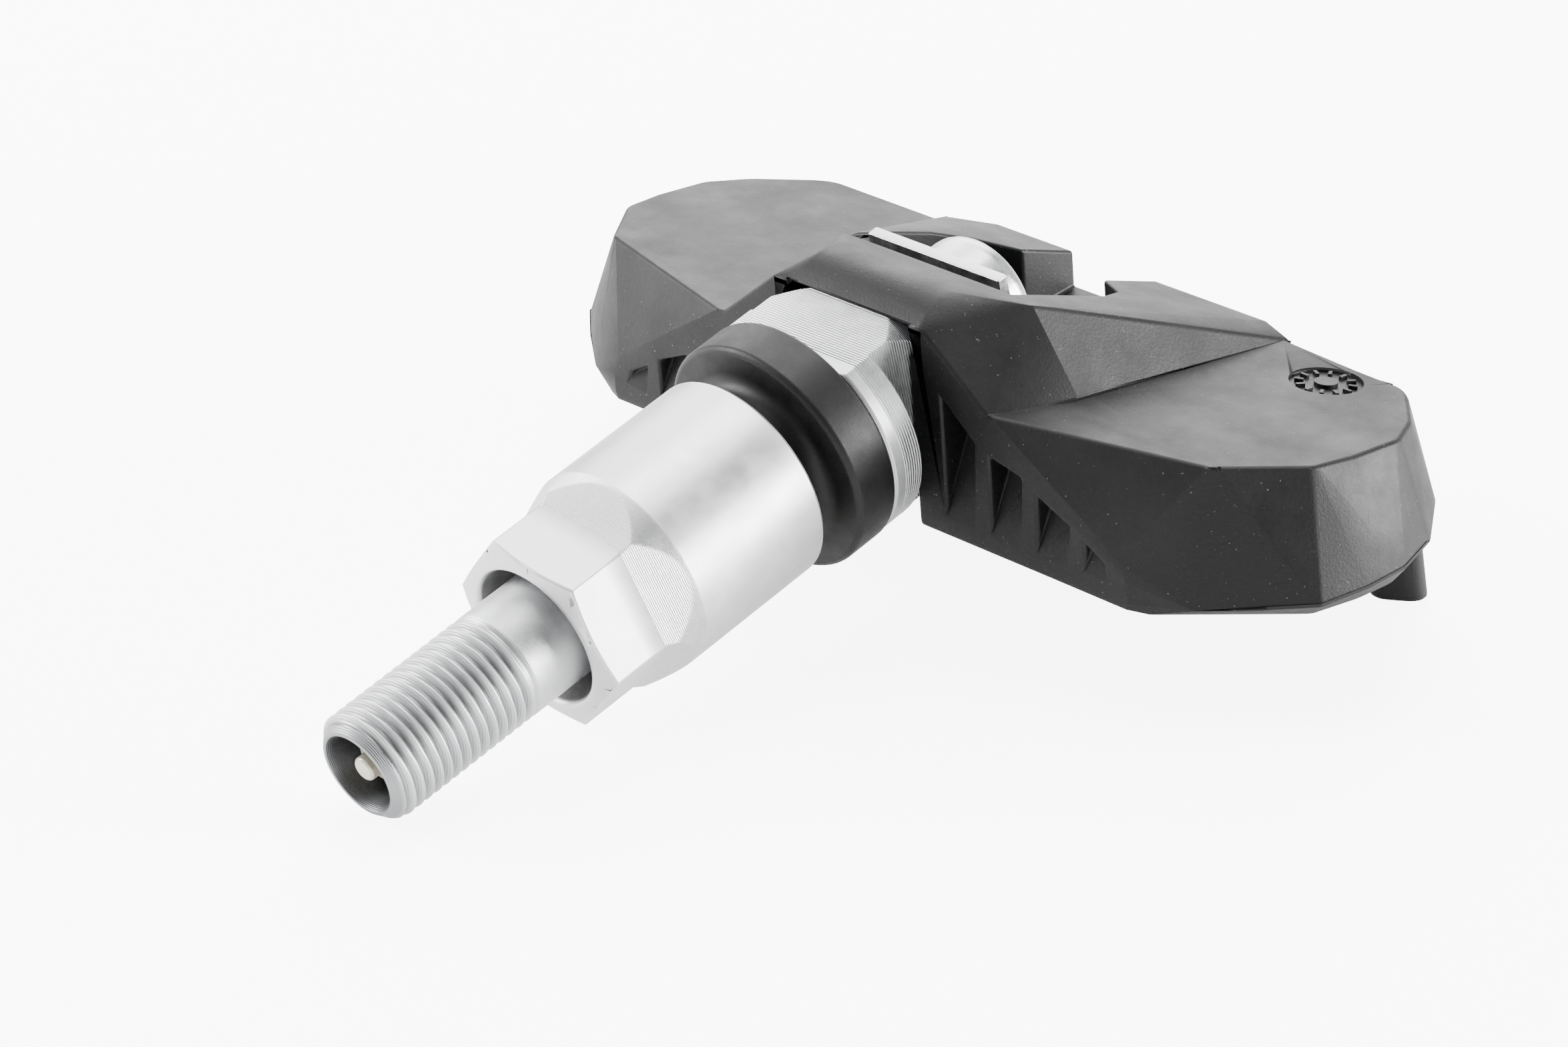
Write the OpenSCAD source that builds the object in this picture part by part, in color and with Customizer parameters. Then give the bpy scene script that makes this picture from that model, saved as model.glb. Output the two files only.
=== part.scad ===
// Clamp-in tyre pressure sensor: an aluminium valve stem with its collar nut, rubber grommet and
// valve core, held by a plate and a screw in a moulded housing that carries the electronics.
// Millimetres. The origin is the centre of the valve hole in the wheel rim, on the stem's axis.
// The stem points towards -Y and down; +Z is up, as the sensor lies on its stem tip and two feet.
// s is the distance along the stem from its tip. The body frame stands on the housing's front face:
// X across, Y to the rear, Z along the direction in which the housing leaves its mould.

/* [Valve stem] */
// Radius over the cap thread and the smooth neck
stem_r = 3.85; // [3.6:0.05:4.1]
// Distance from the tip to the centre of the valve hole
hole_s = 35; // [34.5:0.1:35.4]
// Length of the cap thread
cap_thread_len = 11.2; // [9:0.1:12]
// Radius of the thicker part that carries the nut
nut_thread_r = 5; // [4.9:0.05:5.1]
// Radius of the bore for the valve core
core_bore_r = 2.6; // [2.5:0.05:2.7]
// Radius of the air bore behind the valve core
air_bore_r = 1.4; // [1:0.1:1.6]
// Radius of the turned base disc
disc_r = 8.3; // [7.8:0.1:8.6]
// Width of the square base block
block_w = 10.5; // [10:0.1:10.6]
// Height of the square base block, from flat to flat
block_h = 12.7; // [12:0.1:12.8]

/* [Collar nut] */
// Width across the nut's flats
nut_flats = 12; // [11.6:0.1:12.4]
// Radius of the nut's plain sleeve
sleeve_r = 7.35; // [7:0.05:7.6]
// Turn of the hexagon about the stem
nut_turn = 10.7; // [0:0.1:60]

/* [Grommet] */
// Radius of the neck that fills the valve hole
neck_r = 5.6; // [5.5:0.05:5.65]
// Radius of the sealing flange
flange_r = 8.4; // [8:0.1:8.8]

/* [Housing] */
// Angle of the stem below the level that the sensor lies on
stem_tilt = 15; // [14.5:0.1:15.5]
// Angle between the stem and the housing's mould direction
cradle_angle = 9; // [8.5:0.1:9.5]
// Half width of the front face at its foot
face_half = 23.7; // [23:0.1:24.2]
// Depth of the housing at the top
body_depth = 26; // [25.5:0.1:26.5]
// Height at which the plane of the wing tops meets the front face
wing_top = 10.5; // [10:0.1:10.8]
// Fall of the wing tops towards the rear
wing_fall = 10.2; // [9.5:0.1:10.5]
// Height of the belt round the wings, where they are widest
belt_z = 0.5; // [0.3:0.1:0.8]
// Fall of the underside towards the rear
base_fall = 16.2; // [15.5:0.1:17]
// Half width of the wide part of the screw notch
notch_half = 7.8; // [7.4:0.1:8]
// Half width of the narrow part of the screw notch
slot_half = 3.7; // [3.4:0.1:4]
// Thickness of the ribs between the front pockets
rib_w = 1.35; // [1.1:0.05:1.6]
// Distance from one front pocket to the next
pocket_pitch = 4; // [3.9:0.05:4.1]
// Thickness of the top wall above the electronics
roof = 1.6; // [1.2:0.1:2]

/* [Electronics] */
// Radius of the coin cell
cell_r = 8; // [7.5:0.1:8]
// Thickness of the coin cell
cell_h = 3.2; // [2.5:0.1:3.2]
// Thickness of the circuit board
board_t = 0.8; // [0.6:0.1:0.8]

/* [Hidden] */
$fn = 64;
hull_fn = 32;
eps = 0.02;
// the running clearance between a turned pair
run = 0.05;

// stations along the stem, from the tip
tip_chamfer = 0.8;
tip_r = 3.05;
thread_end_s = tip_chamfer + cap_thread_len;
relief_r = stem_r - 0.45;
mouth_s = 15.4;
nut_end_s = 34.7;
nut_seat_s = 33.2;
flat_end_s = 20.25;
flat_rise = 0.474;
flange_s = 36.8;
disc_s = 40.3;
block_s = 42.9;
boss_s = 48;
boss_end_s = 54.3;
plate_s = 54.5;
plate_t = 0.9;
head_s = plate_s + plate_t;
boss_r = 3.6;
neck_bore_r = 4.2;

// the valve core, from the tip
core_top = 1.9;
core_end = 12.9;
core_shoulder = 5.4;
seat_s = 9;
chamber_r = 2.1;
pin_r = 0.7;
pin_head_s = 0.45;
cup_r = 1.7;
cup_len = 2;
core_gap = 0.05;

// where the housing's front face meets its underside, seen from the stem
face_s = 44.06;
face_drop = 8.18;
// the level that the sensor lies on: the lower edge of the stem's tip
rest_z = -((hole_s - tip_chamfer) * sin(stem_tilt) + stem_r * cos(stem_tilt));

// the wings' outlines at the top, the belt and the underside: X and Y of each corner, and its radius
rim = [[11.9, 0.1, 0.1], [26.3, 5.6, 1.3], [29.6, 10.2, 1.5], [29.9, 13, 1.6], [29.9, 17.2, 1.6],
    [28.4, 19.6, 1.9], [25.2, 22.9, 2.1]];
belt = [[face_half - 0.3, 0.4, 0.4], [27.2, 2.3, 0.5], [30.6, 5.2, 0.6], [32.9, 7.5, 0.7],
    [33.8, 10.9, 0.7],
    [34, 14, 0.8], [32.6, 17.2, 1.4], [29.4, 20.8, 2], [25, 23.4, 2.4]];
base = [[face_half - 0.6, 0.5, 0.4], [27.6, 12.5, 1.4], [27.2, 17, 1.4], [26.2, 21, 1.6],
    [20, body_depth + 0.6, 0.5]];

// where the front face ends towards the wings: X and Z
face_edge = [[15.6, 7.8], [22.8, 3.5], [23.4, 2]];

// the hump over the stem and the notch behind it
arch_half = 6.93;
arch_z = 14.6;
arch_top = 16.2;
arch_round = [4.4, 3.3];
arch_flat = [4.6, 6.2];
flank_front = [12.5, 9.9];
flank_foot = [14, 9.6];
flank_rear = 15.7;
ridge_y = 6.5;
ridge_z = 15.1;
ridge_right = [10.5, 13.65];
ridge_left = [6.6, 10.7];
hump_end_z = 6.64;
notch_floor = 4;
arch_lip = [7.4, 13.4];

// the front pockets
pocket_x = 8.05;
pocket_foot = 1.45;
pocket_slope = 0.43;

// the cavity for the electronics and what lies in it, measured up from the underside
dial_at = [22, 22];
cavity_x = 9.8;
cavity_y = [5.2, 23.8];
channel_top = 0.9;
fill = [0.3, 1.9];
board_z = 3.2;
top_side = board_z + board_t;
cell_at = [18.5, 13.9];
tab_t = 0.2;
tab_w = 4;
cell_z = top_side + 0.3;
port_at = [-14, 12];

// stands a turned shape, drawn upright, on the stem at station s
module along_stem(s = 0) {
    rotate([stem_tilt, 0, 0]) translate([0, s - hole_s, 0]) rotate([-90, 0, 0]) children();
}

// the stem frame: X across, Y = s, Z up from the axis
module in_stem() {
    rotate([stem_tilt, 0, 0]) translate([0, -hole_s, 0]) children();
}

// the body frame of the housing
module in_body() {
    in_stem() translate([0, face_s, -face_drop]) rotate([-cradle_angle, 0, 0]) children();
}

// the stem frame, for cuts made inside the body frame
module stem_in_body() {
    rotate([cradle_angle, 0, 0]) translate([0, -face_s, face_drop]) children();
}

// the frame of the underside: Z is square to it
module on_base() {
    in_body() rotate([-base_fall, 0, 0]) children();
}

module both_sides() {
    for (side = [0, 1]) mirror([side, 0, 0]) children();
}

module disc_at(x, y, z, r) {
    translate([x, y, z]) cylinder(r = r, h = eps, $fn = hull_fn);
}

// the heights of the wing tops and of the underside at a depth y
function top_at(y) = wing_top - y * tan(wing_fall);
function base_at(y) = -y * tan(base_fall);

// the wings: widest at the belt, drafted back to the tops above it and to the underside below it
module wings() {
    hull() both_sides() {
        for (c = rim) disc_at(c[0], c[1], top_at(c[1]) + 0.3, c[2]);
        for (c = belt) disc_at(c[0], c[1], belt_z, c[2]);
        for (c = base) disc_at(c[0], c[1], base_at(c[1]) - 0.4, c[2]);
        for (c = face_edge) corner(c[0], 0, c[1]);
    }
}

// a small block that marks a corner of a joined shape
module corner(x, y, z) {
    translate([x, y, z]) cube(eps);
}

// the hump: a rounded arch in front, a flat top that falls to the rear, and steep flanks
module hump() {
    intersection() {
        hull() {
            translate([-arch_flat[0], arch_round[1], arch_top - arch_round[0]]) rotate([0, 90, 0])
                cylinder(r = arch_round[0], h = arch_flat[0] + arch_flat[1], $fn = hull_fn);
            both_sides() {
                corner(flank_front[0], 0, flank_front[1]);
                corner(flank_front[0], 0, 4);
                corner(arch_half, 0, arch_z);
                corner(flank_foot[0], ridge_y, flank_foot[1]);
                corner(flank_rear, body_depth - eps, top_at(body_depth));
                corner(flank_rear, body_depth - eps, 2);
            }
            corner(ridge_right[0], ridge_y, ridge_z);
            corner(ridge_right[1], body_depth - eps, hump_end_z);
            corner(-ridge_left[0], ridge_y, ridge_z);
            corner(-ridge_left[1], body_depth - eps, hump_end_z);
        }
        translate([-30, 0, -20]) cube([60, 60, 60]);
    }
}

// a foot under each rear corner, cut off level where the sensor lies
module foot() {
    hull() {
        disc_at(26.6, 25.3, -14, 1.1);
        disc_at(26.4, 24.6, -6, 1.1);
        disc_at(25.4, 23, 5, 1.2);
        disc_at(23.5, 22.5, -4, 1.2);
    }
}

// what lies above the wing tops
module above_wings() {
    translate([0, 0, wing_top]) rotate([-wing_fall, 0, 0]) translate([-50, -10, 0]) cube([100, 70, 30]);
}

// what lies below the underside
module below_base() {
    rotate([-base_fall, 0, 0]) translate([-50, -10, -30]) cube([100, 70, 30]);
}

// the stem's seat: a square recess, open below, a round bore and the face that the plate bears on
module stem_seat() {
    stem_in_body() {
        translate([-block_w / 2 - 0.1, 30, -40])
            cube([block_w + 0.2, boss_s + 0.15 - 30, 40 + block_h / 2 + 0.05]);
        translate([0, boss_s, 0]) rotate([-90, 0, 0]) cylinder(r = boss_r + 0.1, h = 12);
        translate([-notch_half, plate_s - 0.05, -6]) cube([2 * notch_half, 3, 20]);
    }
    translate([-notch_half, arch_lip[0], arch_lip[1]]) cube([2 * notch_half, 4, 6]);
    // the small pockets beside the arch
    both_sides() translate([block_w / 2, -1, 12.6]) cube([1.1, 2.4, 1.9]);
}

// the notch behind the arch: wide round the screw head, narrow where the screwdriver comes in
module screw_notch() {
    translate([0, 0, notch_floor]) linear_extrude(20) polygon([
        [-notch_half, 10], [notch_half, 10], [notch_half, 16.2], [6.6, 19], [slot_half, 20.8],
        [slot_half, 30], [-slot_half, 30], [-slot_half, 20.8], [-6.6, 19], [-notch_half, 16.2]]);
}

// the outline, seen from the front, that the pockets fill on one side
module pocket_field() {
    rotate([90, 0, 0]) translate([0, 0, -12]) linear_extrude(13) polygon([
        [pocket_x, 1], [pocket_x, 10.3], [10.8, 7.8], [11.9, 7.3], [14.6, 6.7], [16, 5.75],
        [18.6, 4.55], [20, 3.65], [21.6, 2.7], [22.3, 1]]);
}

// the pockets themselves: wedges, deep at the top and running out at the foot
module pocket_wedges() {
    for (i = [0:3]) translate([pocket_x + i * pocket_pitch, 0, pocket_foot])
        rotate([90, 0, 90]) linear_extrude(pocket_pitch - rib_w)
            polygon([[-1, 0], [0, 0], [12 * pocket_slope, 12], [-1, 12]]);
}

// the cavity's outline on one side
module wing_cavity_outline(inset = 0) {
    i = inset;
    polygon([[cavity_x + i, cavity_y[0] + i], [22.8 - i / 2, cavity_y[0] + 1.4 + i],
        [27.4 - i, 11.5 + i / 2],
        [27.4 - i, 16], [26.6 - i, 20.5 - i / 2], [23 - i / 2, 23.4 - i],
            [cavity_x + i, cavity_y[1] - i]]);
}

// everything under the wing tops and the notch floor that the electronics may take
module cavity(inset = 0) {
    difference() {
        both_sides() translate([0, 0, -20]) linear_extrude(40) wing_cavity_outline(inset);
        translate([0, 0, -roof]) above_wings();
    }
    translate([-cavity_x - 1, 12 + inset, -20])
        cube([2 * cavity_x + 2, cavity_y[1] - 12 - 2 * inset, 20 + channel_top]);
}

// a slab along the underside, between two heights above it
module base_slab(low, high) {
    rotate([-base_fall, 0, 0]) translate([-50, -10, low]) cube([100, 70, high - low]);
}

// a moulded date dial without figures: a sunk ring, a pointer and tick marks
module date_dial() {
    translate([dial_at[0], dial_at[1], top_at(dial_at[1])])
        rotate([-wing_fall, 0, 0]) difference() {
        translate([0, 0, -0.3]) cylinder(r = 2.5, h = 1);
        translate([0, 0, -0.4]) cylinder(r = 0.8, h = 0.4);
        for (a = [0:30:330]) rotate(a) translate([1.5, -0.12, -0.4]) cube([0.6, 0.24, 0.35]);
    }
}

module housing() {
    color("#37383a") difference() {
        union() {
            in_body() {
                difference() {
                    wings();
                    above_wings();
                    below_base();
                }
                difference() {
                    hump();
                    below_base();
                }
            }
            difference() {
                in_body() difference() {
                    both_sides() foot();
                    above_wings();
                }
                translate([-50, -50, rest_z - 30]) cube([100, 150, 30]);
            }
        }
        in_body() {
            stem_seat();
            screw_notch();
            both_sides() intersection() {
                pocket_field();
                pocket_wedges();
            }
            cavity();
            date_dial();
        }
    }
}

// the sealing compound that closes the underside
module base_potting() {
    color("#1e1f21") in_body() difference() {
        intersection() {
            cavity();
            base_slab(fill[0], fill[1]);
        }
        rotate([-base_fall, 0, 0]) translate([port_at[0], port_at[1], -1]) cylinder(r = 0.75, h = 5);
    }
}

module circuit_board() {
    color("#1f5a34") in_body() difference() {
        intersection() {
            cavity(0.5);
            base_slab(board_z, board_z + board_t);
        }
        rotate([-base_fall, 0, 0]) translate([port_at[0], port_at[1], 0]) cylinder(r = 0.5, h = 9);
    }
}

module battery_cell() {
    color("#c9cbcc") on_base() translate([cell_at[0], cell_at[1], cell_z])
        rotate_extrude() polygon([[0, 0], [cell_r - 1.4, 0], [cell_r - 1.2, 0.3], [cell_r - 0.4, 0.3],
            [cell_r, 0.7], [cell_r, cell_h - 0.3], [cell_r - 0.3, cell_h], [0, cell_h]]);
}

// the tab over the cell, bent down to the board
module battery_tab_plus() {
    color("#d5d5d0") on_base() translate([cell_at[0], cell_at[1] - tab_w / 2, 0]) {
        translate([0, 0, cell_z + cell_h]) cube([cell_r + 0.5, tab_w, tab_t]);
        translate([cell_r + 0.3, 0, top_side]) cube([tab_t, tab_w, cell_z + cell_h - top_side]);
    }
}

// the tab between the cell and the board
module battery_tab_minus() {
    color("#d5d5d0") on_base() translate([cell_at[0] - 6, cell_at[1] - tab_w / 2, top_side])
        cube([13.5, tab_w, cell_z - top_side]);
}

module pressure_sensor() {
    color("#2a2a2c") on_base() translate([port_at[0], port_at[1], top_side]) difference() {
        translate([-3, -2.5, 0]) cube([6, 5, 1.9]);
        translate([0, 0, -1]) cylinder(r = 0.5, h = 2);
    }
}

// the tube that joins the port in the sealing compound to the hole in the board
module port_seal() {
    color("#4b4d50") on_base() translate([port_at[0], port_at[1], fill[1]]) difference() {
        cylinder(r = 1.5, h = board_z - fill[1]);
        translate([0, 0, -1]) cylinder(r = 0.75, h = 4);
    }
}

// the ferrite bar of the wake-up coil, with a thicker block at each end
module coil_core() {
    color("#3c3c40") on_base() translate([-18, 18.4, top_side]) {
        translate([-5.5, -1, 0.9]) cube([11, 2, 1.2]);
        for (x = [-5.5, 4]) translate([x, -1.6, 0]) cube([1.5, 3.2, 3]);
    }
}

module coil_winding() {
    color("#b5713a") on_base() translate([-18, 18.4, top_side + 1.5]) rotate([0, 90, 0])
        translate([0, 0, -3.9]) linear_extrude(7.8) difference() {
            square([2.6, 3], center = true);
            square([1.2 + eps, 2 + eps], center = true);
        }
}

module radio_chip() {
    color("#232325") on_base() translate([-24, 9.6, top_side]) cube([5, 5, 0.9]);
}

module crystal() {
    color("#c8c9c4") on_base() translate([-26.6, 15, top_side]) cube([2.5, 3.2, 0.8]);
}

// a bent strip that stands over the board and works as the aerial
module loop_antenna() {
    color("#c98b4a") on_base() translate([-24, 8, top_side]) {
        translate([0, 0, 3.5]) cube([12.4, 0.8, 0.4]);
        for (x = [0, 12]) translate([x, 0, 0]) cube([0.4, 0.8, 3.5 + eps]);
    }
}

module chip_capacitors() {
    color("#a58a63") on_base() for (i = [0:4])
        translate([-7 + i * 3, 20.4, top_side]) cube([1.6, 0.8, 0.7]);
}

// the turned stem, with the milled block and its flats
module valve_stem() {
    color("#d8dadb") difference() {
        union() {
            along_stem() rotate_extrude() polygon([
                [0, 0], [tip_r, 0], [stem_r, tip_chamfer], [stem_r, thread_end_s],
                [relief_r, thread_end_s + 0.2], [relief_r, thread_end_s + 0.4],
                [stem_r, thread_end_s + 0.6], [stem_r, 20.4], [nut_thread_r, 21.5],
                [nut_thread_r, 32.2], [neck_bore_r, 32.8], [neck_bore_r, disc_s], [0, disc_s]]);
            intersection() {
                along_stem() rotate_extrude() polygon([
                    [0, disc_s], [disc_r - 0.25, disc_s], [disc_r, disc_s + 0.25], [disc_r, 44.4],
                    [7.5, 46.2], [6.4, boss_s], [0, boss_s]]);
                in_stem() union() {
                    translate([-block_w / 2, disc_s, -block_h / 2])
                        cube([block_w, boss_s - disc_s, block_h]);
                    translate([-10, disc_s, -10]) cube([20, block_s - disc_s, 10 + block_h / 2]);
                }
            }
            along_stem(boss_s - eps) cylinder(r = boss_r, h = boss_end_s - boss_s);
        }
        along_stem() rotate_extrude() polygon([
            [0, -1], [tip_r - 0.3, -1], [tip_r - 0.3, 0], [core_bore_r, 0.5], [core_bore_r, seat_s],
            [chamber_r, seat_s + 1], [chamber_r, 24], [air_bore_r, 24.8], [air_bore_r, 44.6], [0, 45.4]]);
        // the cross hole that lets the air out below the block
        in_stem() translate([0, 44, -12]) cylinder(r = 1, h = 12);
        // the screw's hole
        along_stem(46.4) cylinder(r = 2, h = 9);
    }
}

module rubber_grommet() {
    color("#232324") along_stem() rotate_extrude() polygon(concat(
        [[neck_bore_r + eps, nut_seat_s], [neck_r - 0.3, nut_seat_s], [neck_r, nut_seat_s + 0.3]],
        [for (a = [0:15:90]) [neck_r + 1 - cos(a), flange_s - 1 + sin(a)]],
        [[flange_r - 0.3, flange_s], [flange_r, flange_s + 0.3], [flange_r, disc_s - 0.2],
        [flange_r - 0.2, disc_s], [neck_bore_r + eps, disc_s]]));
}

// the long nut: a turned sleeve over the thread, with six flats milled into its front half
module collar_nut() {
    color("#d3d5d6") along_stem() difference() {
        rotate_extrude() polygon([[5.1, mouth_s], [5.4, mouth_s], [6.93, mouth_s + 0.5],
            [sleeve_r, mouth_s + 1],
            [sleeve_r, nut_end_s - 0.3], [sleeve_r - 0.3, nut_end_s], [6.1, nut_end_s], [6.1, 32.6],
            [nut_thread_r + run, 32.4], [nut_thread_r + run, 20.3], [4.9, 19.8], [4.9, mouth_s + 0.3]]);
        // each flat rises to the sleeve where the cutter runs out
        for (i = [0:5]) rotate(nut_turn + 30 + i * 60) translate([0, 6, 0]) rotate([90, 0, 0])
            linear_extrude(12) polygon([[nut_flats / 2, mouth_s - 1],
                [nut_flats / 2, flat_end_s], [nut_flats / 2 + 4 * flat_rise, flat_end_s + 4],
                    [12, flat_end_s + 4],
                [12, mouth_s - 1]]);
    }
}

// the screwed barrel of the valve core, with two flats for its key
module core_barrel() {
    color("#c4a24e") difference() {
        along_stem() rotate_extrude() polygon([
            [pin_r + run, core_shoulder], [1.75, core_shoulder], [1.75, core_top + 0.2],
            [1.9, core_top], [core_bore_r - 0.02, core_top + 0.3], [core_bore_r - 0.02, seat_s - 1.4],
            [chamber_r - 0.5, seat_s - 1.2], [chamber_r - 0.5, core_end], [pin_r + run, core_end]]);
        in_stem() for (side = [-1, 1]) translate([side * 2.35 - 0.4, core_top - 0.5, -3])
            cube([0.8, 1.8, 6]);
    }
}

// the ring that seals the barrel against the stem's taper
module core_seal_ring() {
    color("#b3423a") along_stem() rotate_extrude() polygon([
        [chamber_r - 0.48, seat_s - 1.15], [core_bore_r - 0.1, seat_s - 1.15],
            [core_bore_r - 0.1, seat_s - 0.1],
        [chamber_r - 0.08, seat_s + 0.98], [chamber_r - 0.08, seat_s + 2],
            [chamber_r - 0.48, seat_s + 2]]);
}

// the pin: its head in the stem's mouth, the collar that the spring bears on, and the shaft
module core_pin() {
    color("#e6dcc2") along_stem() rotate_extrude() polygon([
        [0, pin_head_s], [0.7, pin_head_s], [0.85, pin_head_s + 0.15], [0.85, 1.5], [1.45, 1.6],
            [1.45, 2],
        [pin_r, 2.1], [pin_r, core_end + cup_len + core_gap], [0, core_end + cup_len + core_gap]]);
}

// the cup on the inner end of the pin, which closes the barrel
module core_cup() {
    color("#2b2b2c") along_stem(core_end + core_gap) rotate_extrude() polygon([
        [pin_r, 0], [cup_r - 0.3, 0], [cup_r, 0.3], [cup_r, cup_len - 0.3], [cup_r - 0.3, cup_len],
        [pin_r, cup_len]]);
}

// the return spring between the pin's collar and the barrel's shoulder
module core_spring() {
    coil_r = 1.25;
    wire_r = 0.16;
    turns = 5;
    low = 2.1 + wire_r + 0.04;
    high = core_shoulder - wire_r - 0.04;
    steps = 14;
    sides = 6;
    rings = turns * steps;
    points = [for (i = [0:rings]) let (a = 360 * i / steps, h = low + (high - low) * i / rings)
        for (j = [0:sides - 1]) let (b = 360 * j / sides, r = coil_r + wire_r * cos(b))
            [r * cos(a), r * sin(a), h + wire_r * sin(b)]];
    skin = [for (i = [0:rings - 1], j = [0:sides - 1]) let (k = (j + 1) % sides)
        [i * sides + j, i * sides + k, (i + 1) * sides + k, (i + 1) * sides + j]];
    ends = [[for (j = [sides - 1:-1:0]) j], [for (j = [0:sides - 1]) rings * sides + j]];
    color("#b8babc") along_stem() polyhedron(points = points, faces = concat(skin, ends));
}

// the screw that draws the stem into the housing, with a domed head and a six-sided socket
module retaining_screw() {
    head_r = 4.4;
    color("#c3c5c6") along_stem(head_s) difference() {
        union() {
            rotate_extrude() polygon(concat([[0, 0], [head_r - 0.2, 0], [head_r, 0.2], [head_r, 2.2]],
                [for (a = [0:15:75]) [head_r - 1.6 + 1.6 * cos(a), 2.2 + 1.5 * sin(a)]], [[0, 3.75]]));
            translate([0, 0, -7.6]) cylinder(r = 1.95, h = 7.7);
        }
        translate([0, 0, 1.8]) cylinder(r = 1.6, h = 3, $fn = 6);
    }
}

// the plate under the screw's head, which spans the seat's two cheeks
module screw_plate() {
    color("#cfd1d2") in_stem() difference() {
        translate([-5.9, plate_s, -5.3]) cube([11.8, plate_t, 10.4]);
        translate([0, plate_s - 1, 0]) rotate([-90, 0, 0]) cylinder(r = 2.1, h = 3);
    }
}

housing();
base_potting();
circuit_board();
battery_cell();
battery_tab_plus();
battery_tab_minus();
pressure_sensor();
port_seal();
coil_core();
coil_winding();
radio_chip();
crystal();
loop_antenna();
chip_capacitors();
valve_stem();
rubber_grommet();
collar_nut();
core_barrel();
core_seal_ring();
core_pin();
core_cup();
core_spring();
retaining_screw();
screw_plate();
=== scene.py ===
"""Looks of the clamp-in tyre pressure sensor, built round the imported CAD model. Metres, Z up."""
from math import cos, pi, radians, sin

import bmesh
import bpy
from mathutils import Matrix, Vector


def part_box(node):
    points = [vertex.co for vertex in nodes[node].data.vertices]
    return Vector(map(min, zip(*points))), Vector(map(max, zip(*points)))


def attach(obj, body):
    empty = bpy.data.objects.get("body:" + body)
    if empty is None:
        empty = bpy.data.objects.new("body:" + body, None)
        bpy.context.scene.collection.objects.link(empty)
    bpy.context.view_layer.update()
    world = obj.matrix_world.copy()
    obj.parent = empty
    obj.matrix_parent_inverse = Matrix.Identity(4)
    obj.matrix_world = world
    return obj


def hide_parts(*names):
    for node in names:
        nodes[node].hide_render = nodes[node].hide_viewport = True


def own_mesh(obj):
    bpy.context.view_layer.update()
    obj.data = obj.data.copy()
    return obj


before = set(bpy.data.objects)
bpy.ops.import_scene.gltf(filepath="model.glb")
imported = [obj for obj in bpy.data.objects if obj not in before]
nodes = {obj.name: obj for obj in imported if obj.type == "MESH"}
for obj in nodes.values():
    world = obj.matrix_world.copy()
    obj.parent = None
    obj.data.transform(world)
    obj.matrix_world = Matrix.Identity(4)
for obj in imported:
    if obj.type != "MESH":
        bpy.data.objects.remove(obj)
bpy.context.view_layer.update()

# Housing. The real one is a single moulding of black glass-filled nylon, with softly rounded edges and the
# fine grain of a spark-eroded mould. Pale specks of dust and fibre show on it. The edges round the date
# dial stay as the CAD has them, because they are finer than the rounding.


def colour(code):
    """A colour given as sRGB hex, as the linear values that Blender works with."""
    part = [int(code[i:i + 2], 16) / 255 for i in (1, 3, 5)]
    return tuple(c / 12.92 if c <= 0.04045 else ((c + 0.055) / 1.055) ** 2.4 for c in part) + (1.0,)


def add(tree, kind, inputs=None, **settings):
    """Adds one shader node. The value of an input is a number, a colour or another node's output."""
    node = tree.nodes.new("ShaderNode" + kind)
    for key, value in settings.items():
        setattr(node, key, value)
    for key, value in (inputs or {}).items():
        if isinstance(value, bpy.types.NodeSocket):
            tree.links.new(value, node.inputs[key])
        else:
            node.inputs[key].default_value = value
    return node


def finish(name, dark, pale, rough, metal=0.0, scale=0.5, grain=5.0, relief=0.2, in_stem=False):
    """A material whose tone and shine drift over a soft noise, under a fine grain. Its pattern is in
    millimetres, in the stem's own frame where asked. Gives the material, its tree, its main shader, the
    coordinates, the tone and the bump, for what a piece adds to them."""
    mat = bpy.data.materials.new(name)
    mat.use_nodes = True
    mat.diffuse_color = colour(pale)
    tree = mat.node_tree
    main = tree.nodes["Principled BSDF"]
    main.inputs["Metallic"].default_value = metal
    turn = {"Location": (0, 35, 0), "Rotation": (radians(-15), 0, 0)} if in_stem else {}
    where = add(tree, "TexCoord").outputs["Object"]
    where = add(tree, "Mapping", {"Vector": where, "Scale": (1000, 1000, 1000), **turn}).outputs["Vector"]
    drift = add(tree, "TexNoise", {"Vector": where, "Scale": scale, "Detail": 4.0, "Roughness": 0.65})
    tone = add(tree, "ValToRGB", {"Fac": drift.outputs["Fac"]})
    for stop, place, code in zip(tone.color_ramp.elements, (0.3, 0.7), (dark, pale)):
        stop.position = place
        stop.color = colour(code)
    shine = add(tree, "MapRange", {"Value": drift.outputs["Fac"], "From Min": 0.3, "From Max": 0.7,
                                   "To Min": rough[0], "To Max": rough[1]})
    fine = add(tree, "TexNoise", {"Vector": where, "Scale": grain, "Detail": 3.0, "Roughness": 0.6})
    bump = add(tree, "Bump", {"Height": fine.outputs["Fac"], "Strength": relief, "Distance": 0.00005})
    tree.links.new(tone.outputs["Color"], main.inputs["Base Color"])
    tree.links.new(shine.outputs["Result"], main.inputs["Roughness"])
    tree.links.new(bump.outputs["Normal"], main.inputs["Normal"])
    return mat, tree, main, where, tone.outputs["Color"], bump


def cad_shape(name, spare=lambda v: False):
    """The form of a CAD node as a bmesh whose flat faces are whole again, but for the vertices to spare."""
    bm = bmesh.new()
    bm.from_mesh(nodes[name].data)
    bmesh.ops.remove_doubles(bm, verts=bm.verts, dist=2e-6)
    bmesh.ops.dissolve_limit(bm, angle_limit=radians(0.4), verts=[v for v in bm.verts if not spare(v)],
                             edges=[e for e in bm.edges if not all(spare(v) for v in e.verts)],
                             delimit={"NORMAL"})
    return bm


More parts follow.
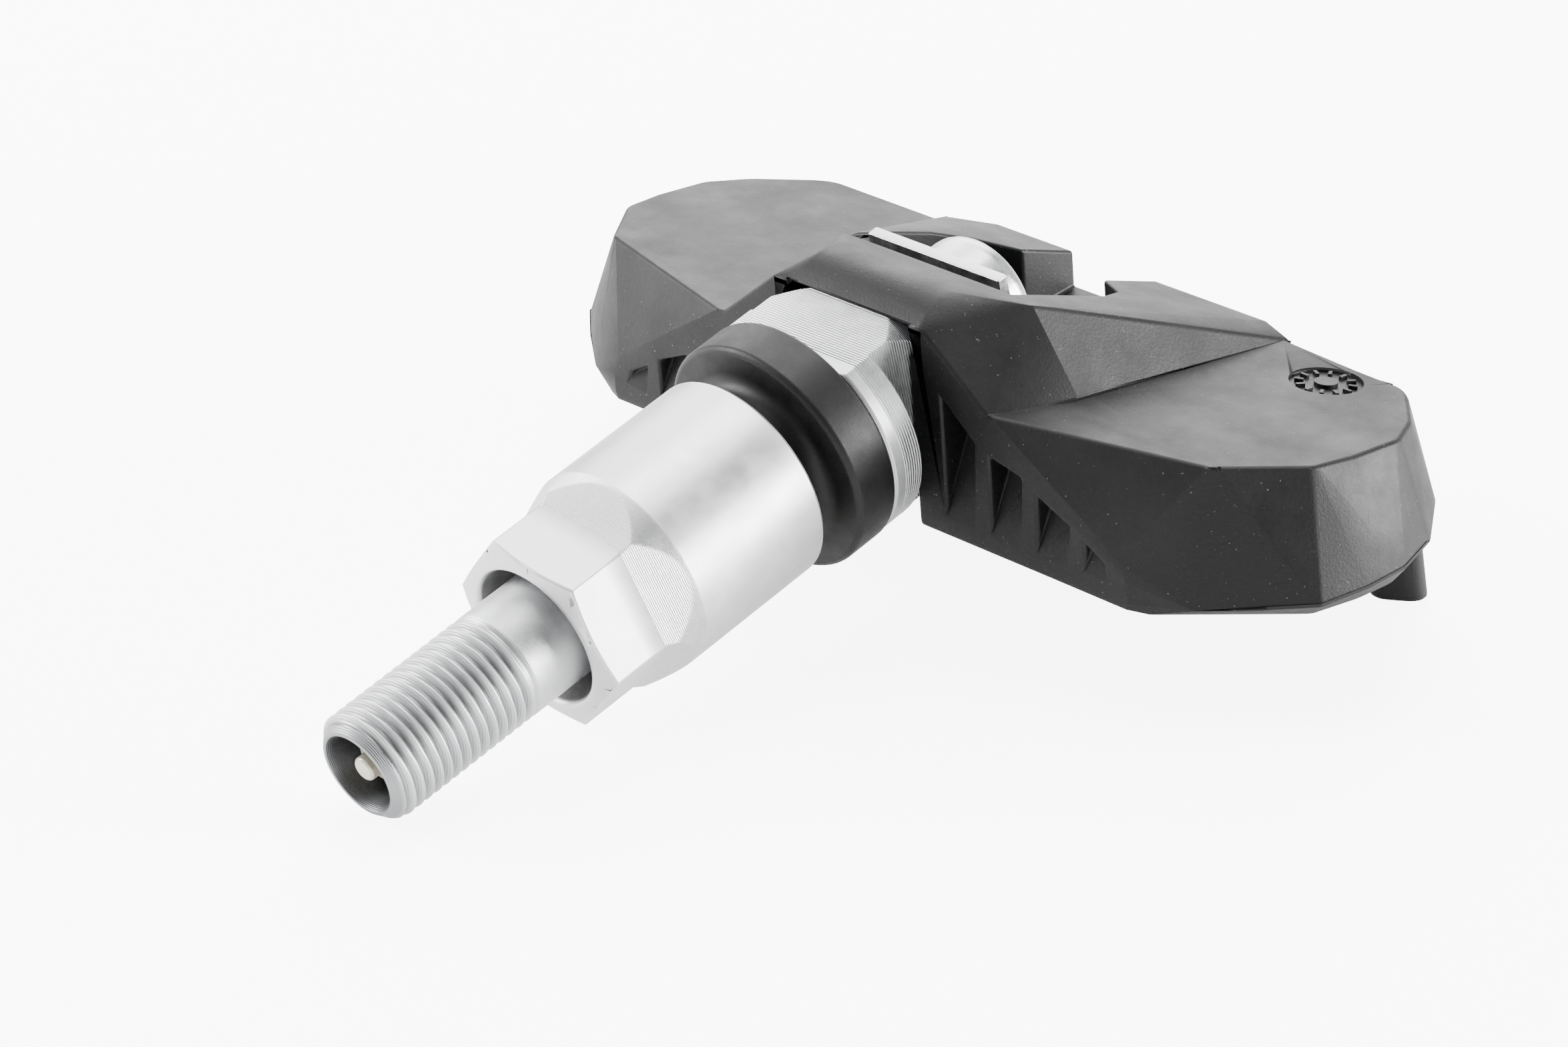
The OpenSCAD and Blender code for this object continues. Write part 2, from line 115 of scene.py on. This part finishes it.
def round_edges(bm, width, angle=25, segments=2, keep=lambda e: True):
    """Rounds the edges that turn by more than the angle, where keep allows it."""
    sharp = [e for e in bm.edges if len(e.link_faces) == 2 and e.calc_face_angle(0) > radians(angle)
             and keep(e)]
    bmesh.ops.bevel(bm, geom=sharp, offset=width, offset_type="OFFSET", segments=segments, profile=0.5,
                    affect="EDGES", material=-1, clamp_overlap=False)


def piece(name, bm, mat, body, slot, *stands_for, crease=32):
    """Turns a bmesh into a piece that rides on a body and takes the place of CAD nodes. Large faces keep
    their own normals and only the narrow ones beside them blend."""
    bmesh.ops.recalc_face_normals(bm, faces=bm.faces)
    mesh = bpy.data.meshes.new(name)
    bm.to_mesh(mesh)
    bm.free()
    mesh.materials.append(mat)
    mesh.shade_smooth()
    mesh.set_sharp_from_angle(angle=radians(crease))
    obj = bpy.data.objects.new(name, mesh)
    bpy.context.scene.collection.objects.link(obj)
    obj.modifiers.new("even_normals", "WEIGHTED_NORMAL").keep_sharp = True
    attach(obj, body)
    if stands_for:
        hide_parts(*stands_for)
    return obj


shell_round, finest_edge = 0.00025, 0.0001
dial, dial_reach = Vector((0.022, 0.0321, 0.0032)), 0.0045
wing_fall = radians(6 - 10.2)
wing_top = Vector((0, -sin(wing_fall), cos(wing_fall)))


def on_wing_top(v):
    """Whether a vertex lies on the plane of the two wing tops."""
    return abs((v.co - dial).dot(wing_top)) < 0.0002


bm = cad_shape("housing", lambda v: v.co.x > 0.005 and on_wing_top(v))
foot_line = {e for e in bm.edges if not e.is_convex and all(on_wing_top(v) for v in e.verts)}
round_edges(bm, shell_round, 34, 3, lambda e: e.calc_length() > finest_edge and e not in foot_line
            and (e.verts[0].co - dial).length > dial_reach)
mat, tree, main, where, tone, bump = finish("housing_nylon", "#0b0b0c", "#131314", (0.46, 0.6), scale=0.22,
                                            relief=0.4)
main.inputs["Specular IOR Level"].default_value = 0.3
speck = add(tree, "TexNoise", {"Vector": where, "Scale": 4.5, "Detail": 1.0})
dots = add(tree, "MapRange", {"Value": speck.outputs["Fac"], "From Min": 0.74, "From Max": 0.8})
mix = add(tree, "Mix", {"Factor": dots.outputs["Result"], 6: tone, 7: colour("#5c5a57")}, data_type="RGBA")
tree.links.new(mix.outputs[2], main.inputs["Base Color"])
shell = piece("housing_shell", bm, mat, "sensor", "housing_plastic", "housing", crease=45)
for face in shell.data.polygons:
    corners = [shell.data.vertices[i].co for i in face.vertices]
    if face.normal.dot(wing_top) > 0.99999 and min((c - dial).length for c in corners) < dial_reach:
        face.use_smooth = False

# Circuit board. Glass-fibre laminate under green solder mask, with the paler copper tracks showing through
# it. It is sealed inside the housing.


def paint(mat, *names):
    """Gives CAD nodes their material."""
    for name in names:
        nodes[name].data.materials.clear()
        nodes[name].data.materials.append(mat)


mat, tree, main, where, tone, bump = finish("board_mask", "#17492a", "#1f6238", (0.3, 0.42), relief=0.1)
track = add(tree, "TexBrick", {"Vector": where, "Color1": colour("#1a5530"), "Color2": colour("#1f6238"),
                               "Mortar": colour("#3c8a55"), "Scale": 0.45, "Mortar Size": 0.03})
tree.links.new(track.outputs["Color"], main.inputs["Base Color"])
paint(mat, "circuit_board")

# Coin cell. A drawn steel can and lid, nickel plated, with faint rings from the drawing tool, and the two
# nickel tabs that are spot welded to it. The crystal's can is of the same metal.
mat, tree, main, where, tone, bump = finish("cell_nickel", "#a9abac", "#bfc1c2", (0.24, 0.38), 1.0)
low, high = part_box("battery_cell")
middle = [500 * (a + b) for a, b in zip(low, high)]
inward = add(tree, "VectorMath", {0: where, 1: middle}, operation="SUBTRACT")
rings = add(tree, "TexWave", {"Vector": inward.outputs["Vector"], "Scale": 1.2, "Distortion": 0.5},
            wave_type="RINGS", rings_direction="Z")
tree.links.new(rings.outputs["Fac"], bump.inputs["Height"])
paint(mat, "battery_cell")
paint(finish("tab_nickel", "#b5b5b0", "#cacac6", (0.28, 0.42), 1.0, scale=1.5)[0], "battery_tab_plus",
      "battery_tab_minus", "crystal")

# Chips. The radio chip and the pressure sensor are moulded in black epoxy, with a fine matt grain; the
# capacitors and the wake-up coil's core are sintered, grey and slightly porous.
paint(finish("chip_epoxy", "#151517", "#1e1e20", (0.45, 0.6), grain=9.0, relief=0.3)[0],
      "pressure_sensor", "radio_chip")
paint(finish("ferrite", "#232327", "#333338", (0.5, 0.7), scale=2.0, relief=0.5)[0],
      "coil_core", "chip_capacitors")

# Coil and antenna. Both are enamelled copper: fine wire laid side by side on the ferrite core, and a bent
# strip for the antenna.
mat, tree, main, where, tone, bump = finish("copper", "#9c5728", "#c17a42", (0.25, 0.38), 1.0, scale=1.5)
wire = add(tree, "TexWave", {"Vector": where, "Scale": 1.6}, wave_type="BANDS", bands_direction="X")
tree.links.new(wire.outputs["Fac"], bump.inputs["Height"])
paint(mat, "coil_winding", "loop_antenna")

# Sealing compound. Two-part resin is cast into the open underside once the electronics are in, and sets
# with a glossy skin that is slightly wavy.
paint(finish("potting", "#101012", "#17171a", (0.2, 0.36), scale=0.25, grain=0.6, relief=0.6)[0],
      "base_potting")

# Valve stem. Turned and milled from one aluminium bar and satin anodised, with tool marks round its axis
# that are coarse on the base disc and the block. The rear comes from the CAD solid; the front is turned
# here with its cap thread in full: 7.7 mm over the crests, 32 threads to the inch.
tilt, tip_to_origin = radians(15), 0.035
# The stem's own frame has X across, Y from its tip to the rear and Z up from its axis.
STEM = Matrix.Rotation(tilt, 4, "X") @ Matrix.Translation((0, -tip_to_origin, 0))
pitch, turns, steps = 0.000794, 18, 72
crest, root = 0.00385, 0.00342
mouth_r, core_r, seat_r = 0.00305, 0.0026, 0.0021
thread_end, rear_start = 0.0119, 0.0127
relief_s, fade_s, fade_length = thread_end + 0.0003, thread_end - 0.0006, 0.0009
bm = cad_shape("valve_stem")
bm.transform(STEM.inverted())
bmesh.ops.bisect_plane(bm, geom=bm.verts[:] + bm.edges[:] + bm.faces[:], plane_co=(0, rear_start, 0),
                       plane_no=(0, 1, 0), clear_inner=True, dist=1e-7)
round_edges(bm, 0.0001, 25, 2)
rear = bpy.data.meshes.new("rear")
bm.to_mesh(rear)
bm.free()
bm = bmesh.new()
form = ((0.0, root), (0.06, root), (0.44, crest), (0.56, crest), (0.94, root), (1.0, root))
ring = [bm.verts.new((r, (k - 2) * pitch, 0)) for k, r in form]
edges = [bm.edges.new(pair) for pair in zip(ring, ring[1:])]
bmesh.ops.spin(bm, geom=ring + edges, cent=(0, 0, 0), axis=(0, 1, 0), dvec=(0, pitch / steps, 0),
               angle=2 * pi * turns, steps=steps * turns)
bmesh.ops.remove_doubles(bm, verts=bm.verts, dist=2e-6)
bmesh.ops.subdivide_edges(bm, edges=[e for e in bm.edges if abs(e.verts[0].co.y - e.verts[1].co.y) > 0.0002],
                          cuts=2, use_grid_fill=True)
for side, clear in ((0.0, True), (relief_s, False)):
    bmesh.ops.bisect_plane(bm, geom=bm.verts[:] + bm.edges[:] + bm.faces[:], plane_co=(0, side, 0),
                           plane_no=(0, 1, 0), clear_inner=clear, clear_outer=not clear, dist=1e-7)
for v in bm.verts:
    r = Vector((v.co.x, v.co.z)).length
    wanted = min(r, mouth_r + v.co.y)
    fade = min(max((v.co.y - fade_s) / fade_length, 0.0), 1.0)
    wanted += (crest - wanted) * fade
    v.co.x *= wanted / r
    v.co.z *= wanted / r
bm.from_mesh(rear)
neck = ((crest, relief_s), (crest, rear_start))
bore = ((mouth_r, 0), (0.00282, 0), (core_r, 0.0005), (core_r, 0.009), (seat_r, 0.010), (seat_r, rear_start))
for line in (neck, bore):
    ring = [bm.verts.new((r, s, 0)) for r, s in line]
    edges = [bm.edges.new(pair) for pair in zip(ring, ring[1:])]
    bmesh.ops.spin(bm, geom=ring + edges, cent=(0, 0, 0), axis=(0, 1, 0), angle=2 * pi, steps=steps)
bmesh.ops.remove_doubles(bm, verts=bm.verts, dist=1e-6)
bm.transform(STEM)
mat, tree, main, where, tone, bump = finish("stem_metal", "#cfd0d1", "#d9dadb", (0.38, 0.5), 1.0, scale=0.8,
                                            in_stem=True)
along = add(tree, "SeparateXYZ", {"Vector": where}).outputs["Y"]
across = add(tree, "VectorMath", {0: where, 1: (1, 0, 1)}, operation="MULTIPLY").outputs["Vector"]
radius = add(tree, "VectorMath", {0: across}, operation="LENGTH").outputs["Value"]
fine = add(tree, "TexWave", {"Vector": where, "Scale": 3.1, "Distortion": 0.4, "Detail": 1.0},
           wave_type="BANDS", bands_direction="Y")
slight = add(tree, "MapRange", {"Value": fine.outputs["Fac"], "To Max": 0.06})
coarse = add(tree, "TexWave", {"Vector": where, "Scale": 1.5}, wave_type="BANDS", bands_direction="Y")
on_disc = add(tree, "MapRange", {"Value": along, "From Min": 41.3, "From Max": 41.6})
level = add(tree, "Mix", {"Factor": on_disc.outputs["Result"], 2: slight.outputs["Result"],
                          3: coarse.outputs["Fac"]}, data_type="FLOAT")
tree.links.new(level.outputs[0], bump.inputs["Height"])
bump.inputs["Strength"].default_value = 1.0
bump.inputs["Distance"].default_value = 0.0002
# Painted shade: between the crests of the thread, the roots are a darker grey (#97989a) than the rest of the
# stem.
past_thread = add(tree, "MapRange", {"Value": along, "From Min": 11.8, "From Max": 12.1}).outputs["Result"]
on_crest = add(tree, "MapRange", {"Value": radius, "From Min": 3.42, "From Max": 3.8}).outputs["Result"]
out_of_root_shade = add(tree, "Math", {0: past_thread, 1: on_crest}, operation="MAXIMUM").outputs["Value"]
mix = add(tree, "Mix", {"Factor": out_of_root_shade, 6: colour("#97989a"), 7: tone}, data_type="RGBA")
# Painted shade: the bore wall inside the mouth, within 2.75 mm of the axis, is a darker grey (#6f7072).
outside_bore_shade = add(tree, "MapRange", {"Value": radius, "From Min": 2.75, "From Max": 2.95}).outputs["Result"]
mix = add(tree, "Mix", {"Factor": outside_bore_shade, 6: colour("#6f7072"), 7: mix.outputs[2]}, data_type="RGBA")
tree.links.new(mix.outputs[2], main.inputs["Base Color"])
piece("stem_turned", bm, mat, "sensor", "stem_aluminium", "valve_stem")

# Valve core. A brass barrel screwed into the stem's mouth, grey from its plating and darkened further as
# painted shade in the mouth, and a headed pin that slides in it, with a red rubber ring outside and a black
# rubber cup on the pin's inner end.
# Painted shade: the barrel's dark grey is partly its plating and partly shade painted in for the inside of
# the mouth.
mat = finish("core_plated_and_shaded", "#403f3a", "#545149", (0.42, 0.58), 1.0, scale=1.5, in_stem=True)[0]
bm = cad_shape("core_barrel")
round_edges(bm, 0.00005)
piece("barrel_turned", bm, mat, "sensor", "core_brass", "core_barrel")
mat = finish("pin_plated", "#cfc8b2", "#e6e0cf", (0.3, 0.42), 0.4, scale=2.0, in_stem=True)[0]
bm = cad_shape("core_pin")
round_edges(bm, 0.00005)
piece("pin_headed", bm, mat, "pin", "pin_brass", "core_pin")
paint(finish("seal_red", "#7d2923", "#94352d", (0.42, 0.58), scale=1.5)[0], "core_seal_ring")
paint(finish("seal_black", "#161616", "#232323", (0.42, 0.58), scale=1.5)[0], "core_cup", "port_seal")

# Return spring. Stainless wire, coiled five times round the pin, from the pin's collar to the barrel's
# shoulder. In the valve it closes up as the pin is pressed; here it is a fixed coil with a mesh of its own.
wire_r, coil_r, low, high, coils = 0.00016, 0.00125, 0.0023, 0.0052, 5
bm = bmesh.new()
bmesh.ops.create_circle(bm, segments=12, radius=wire_r)
bmesh.ops.translate(bm, verts=bm.verts, vec=(coil_r, low, 0))
bmesh.ops.spin(bm, geom=bm.verts[:] + bm.edges[:], cent=(0, 0, 0), axis=(0, 1, 0), steps=36 * coils,
               dvec=(0, (high - low) / (36 * coils), 0), angle=2 * pi * coils)
bmesh.ops.holes_fill(bm, edges=[e for e in bm.edges if e.is_boundary], sides=0)
bm.transform(STEM)
mat = finish("spring_wire", "#9fa1a3", "#b4b6b8", (0.25, 0.36), 1.0, scale=2.0)[0]
spring = piece("spring_coiled", bm, mat, "sensor", "spring_steel", "core_spring")
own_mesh(spring)

# Rubber grommet. Moulded in one piece with its flange, satin black with a faint bloom; it slips over the
# stem and is squeezed between the rim and the housing.
bm = cad_shape("rubber_grommet")
round_edges(bm, 0.00015, 25, 2)
mat, tree, main = finish("grommet_rubber", "#0b0b0b", "#121212", (0.42, 0.56), grain=6.0, relief=0.15)[:3]
main.inputs["Specular IOR Level"].default_value = 0.3
piece("grommet_moulded", bm, mat, "sensor", "grommet_rubber", "rubber_grommet")

# Collar nut. Turned and milled from aluminium and satin anodised; the cutter leaves fine lines where each
# flat runs out into the sleeve. It turns on the stem's thread and clamps the rim.
# Loops beside the fold, where a flat begins to run out, let the shading blend over it.
fold_s, blend = 0.02025, (0.0187, 0.0217)
bm = cad_shape("collar_nut")
bm.transform(STEM.inverted())
for s in blend:
    bmesh.ops.bisect_plane(bm, geom=bm.verts[:] + bm.edges[:] + bm.faces[:], plane_co=(0, s, 0),
                           plane_no=(0, 1, 0), dist=1e-7)
fold = {e for e in bm.edges if all(abs(v.co.y - fold_s) < 0.0001 for v in e.verts)}
round_edges(bm, 0.00012, 12, 2, lambda e: e not in fold)
bm.transform(STEM)
mat, tree, main, where, tone, bump = finish("nut_metal", "#d6d6d7", "#dededf", (0.38, 0.5), 1.0,
                                            in_stem=True)
along = add(tree, "SeparateXYZ", {"Vector": where}).outputs["Y"]
lines = add(tree, "TexWave", {"Vector": where, "Scale": 2.6, "Distortion": 0.3}, wave_type="BANDS",
            bands_direction="Y")
start = add(tree, "MapRange", {"Value": along, "From Min": 20.2, "From Max": 20.3}).outputs["Result"]
end = add(tree, "MapRange", {"Value": along, "From Min": 23.2, "From Max": 23.5, "To Min": 1.0,
                             "To Max": 0.1})
depth = add(tree, "Math", {0: start, 1: end.outputs["Result"]}, operation="MULTIPLY")
level = add(tree, "Math", {0: lines.outputs["Fac"], 1: depth.outputs["Value"]}, operation="MULTIPLY")
tree.links.new(level.outputs["Value"], bump.inputs["Height"])
bump.inputs["Strength"].default_value = 0.9
nut = piece("nut_milled", bm, mat, "nut", "nut_aluminium", "collar_nut", crease=14)
for edge in nut.data.edges:
    ends = [STEM.inverted() @ nut.data.vertices[i].co for i in edge.vertices]
    if all(abs(end.y - fold_s) < 0.0001 for end in ends):
        edge.use_edge_sharp = False

# Retaining screw and its plate. Zinc-plated steel: the screw goes into the block's thread through the
# plate, which lies across the two cheeks of the housing's seat.
mat = finish("screw_zinc", "#b8b9ba", "#c9cacb", (0.26, 0.45), 1.0, scale=1.2, relief=0.15)[0]
for name, node in (("screw_plated", "retaining_screw"), ("plate_stamped", "screw_plate")):
    bm = cad_shape(node)
    round_edges(bm, 0.0001, 25, 2)
    piece(name, bm, mat, "sensor", "screw_steel", node)

# Camera. It stands in front of the part, to its right and above it, at the photograph's viewing angle, and
# is level, with a long lens.
camera = bpy.data.objects.new("camera", bpy.data.cameras.new("camera"))
bpy.context.scene.collection.objects.link(camera)
camera.data.lens = 119.66
camera.data.sensor_width = 36.0
camera.data.clip_start = 0.01
look = Vector((-0.631, 0.643, -0.433))
camera.location = Vector((0.2159, -0.21646, 0.14337))
camera.rotation_euler = look.to_track_quat("-Z", "Y").to_euler()
bpy.context.scene.camera = camera

# Floor. A white sheet at the level that the stem's tip and the two feet lie on. The camera sees it as
# plain white; to everything else it is a soft glow from below.
floor_z = min(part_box("valve_stem")[0][2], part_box("housing")[0][2])
bm = bmesh.new()
bmesh.ops.create_grid(bm, x_segments=1, y_segments=1, size=3.0)
bmesh.ops.translate(bm, verts=bm.verts, vec=(0, 0, floor_z))
mesh = bpy.data.meshes.new("floor")
bm.to_mesh(mesh)
bm.free()
floor = bpy.data.objects.new("floor", mesh)
bpy.context.scene.collection.objects.link(floor)
mat, tree, main, where, tone, bump = finish("floor_white", "#f2f2f2", "#f6f6f6", (0.65, 0.75), relief=0.0)
seen = add(tree, "LightPath").outputs["Is Camera Ray"]
glow = add(tree, "MapRange", {"Value": seen, "To Min": 0.55, "To Max": 7.0}).outputs["Result"]
main.inputs["Emission Color"].default_value = (1, 1, 1, 1)
tree.links.new(glow, main.inputs["Emission Strength"])
mesh.materials.append(mat)

# Light. A surround that is bright behind, above and to the left and dark in front, and large soft lamps.
# The camera sees plain white all round.
world = bpy.data.worlds.new("studio")
bpy.context.scene.world = world
world.use_nodes = True
tree = world.node_tree
way = add(tree, "TexCoord").outputs["Generated"]
side = add(tree, "VectorMath", {0: way, 1: (-0.55, 0.45, 0.7)}, operation="DOT_PRODUCT").outputs["Value"]
level = add(tree, "MapRange", {"Value": side, "From Min": -0.35, "From Max": 0.8, "To Min": 0.14,
                               "To Max": 0.9})
seen = add(tree, "LightPath").outputs["Is Camera Ray"]
level = add(tree, "Mix", {"Factor": seen, 2: level.outputs["Result"], 3: 8.0}, data_type="FLOAT")
tree.links.new(level.outputs[0], tree.nodes["Background"].inputs["Strength"])
tree.nodes["Background"].inputs["Color"].default_value = (1, 1, 1, 1)
lamps = (("top", (-0.05, 0.1, 0.55), 0.35, 3.5), ("back", (-0.35, 0.4, 0.3), 0.45, 5.0),
         ("left", (-0.45, -0.25, 0.25), 0.3, 6.0), ("right", (0.5, 0.45, 0.1), 0.25, 12.0))
for name, place, wide, power in lamps:
    lamp = bpy.data.objects.new(name, bpy.data.lights.new(name, "AREA"))
    lamp.data.size = wide
    lamp.data.energy = power
    lamp.location = place
    lamp.rotation_euler = (-Vector(place)).to_track_quat("-Z", "Y").to_euler()
    bpy.context.scene.collection.objects.link(lamp)
